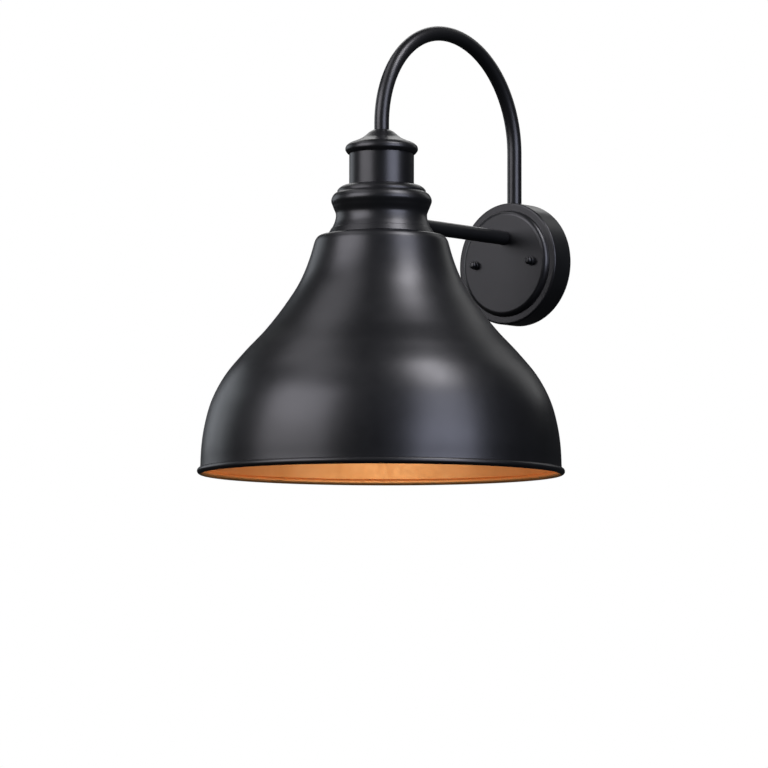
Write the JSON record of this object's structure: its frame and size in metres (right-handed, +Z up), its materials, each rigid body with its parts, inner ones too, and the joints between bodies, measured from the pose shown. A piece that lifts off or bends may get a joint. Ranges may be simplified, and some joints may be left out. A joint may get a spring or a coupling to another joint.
{
  "type": "outdoor wall lantern",
  "caption": "Wall-hung barn lantern: bell shade with copper inside on a ribbed neck, gooseneck arm and straight brace to a round canopy, screw-base bulb.",
  "frame": {"origin": "centre of the round canopy, on the wall's surface, which is also the centre of the junction-box screws", "axes": "+Z up, +Y into the wall, so the lantern stands out along -Y, +X to the right seen from the room"},
  "size_m": [0.3499, 0.393, 0.4426],
  "materials": {
    "charcoal_paint": "satin charcoal powder coat",
    "charcoal_casting": "satin charcoal powder coat on cast aluminium",
    "copper_paint": "metallic copper paint",
    "foam": "closed-cell foam",
    "rubber": "matt rubber",
    "zinc_steel": "zinc plated",
    "green_screw": "green dyed zinc",
    "brass": "plain brass",
    "nickel_plate": "nickel plated",
    "porcelain": "white glaze",
    "black_insulation": "wire insulation",
    "white_insulation": "wire insulation",
    "green_insulation": "wire insulation",
    "wire_nut_plastic": "moulded",
    "clear_glass": "clear",
    "black_glass": "black vitrite",
    "solder": "soldered",
    "support_wire": "drawn wire",
    "tungsten": "dull"
  },
  "bodies": {
    "fixture": {"wall_gasket": "foam", "canopy": "charcoal_paint", "crossbar": "zinc_steel", "crossbar_studs": "zinc_steel", "stud_lock_nuts": "zinc_steel", "cap_nuts": "charcoal_paint", "ground_screw": "green_screw", "ground_lug": "brass", "ground_wire": "green_insulation", "gooseneck_arm": "charcoal_paint", "arm_wall_nipple": "zinc_steel", "lamp_nipple": "zinc_steel", "strut": "charcoal_paint", "strut_wall_nipple": "zinc_steel", "strut_neck_nipple": "zinc_steel", "lock_nuts": "zinc_steel", "canopy_saddle_washer": "zinc_steel", "neck_saddle_washer": "zinc_steel", "strut_washer": "zinc_steel", "top_cap": "charcoal_paint", "cap_spacer": "zinc_steel", "socket_cup": "charcoal_paint", "neck_collar": "charcoal_casting", "shade_gasket": "rubber", "shade": "charcoal_paint", "shade_screws": "copper_paint", "lampholder_bracket": "zinc_steel", "bracket_screws": "zinc_steel", "lampholder_body": "porcelain", "screw_shell": "nickel_plate", "centre_contact": "brass", "terminals": "brass", "lead_black": "black_insulation", "lead_white": "white_insulation", "wire_nuts": "wire_nut_plastic"},
    "bulb": {"bulb_glass": "clear_glass", "bulb_base": "nickel_plate", "bulb_insulator": "black_glass", "bulb_contact": "solder", "bulb_stem": "clear_glass", "bulb_supports": "support_wire", "bulb_filament": "tungsten"}
  },
  "joints": [
    {"name": "bulb_removal", "type": "slide", "parent": "fixture", "child": "bulb", "axis": [0, 0, -1], "range_m": [0, 0.26]}
  ]
}
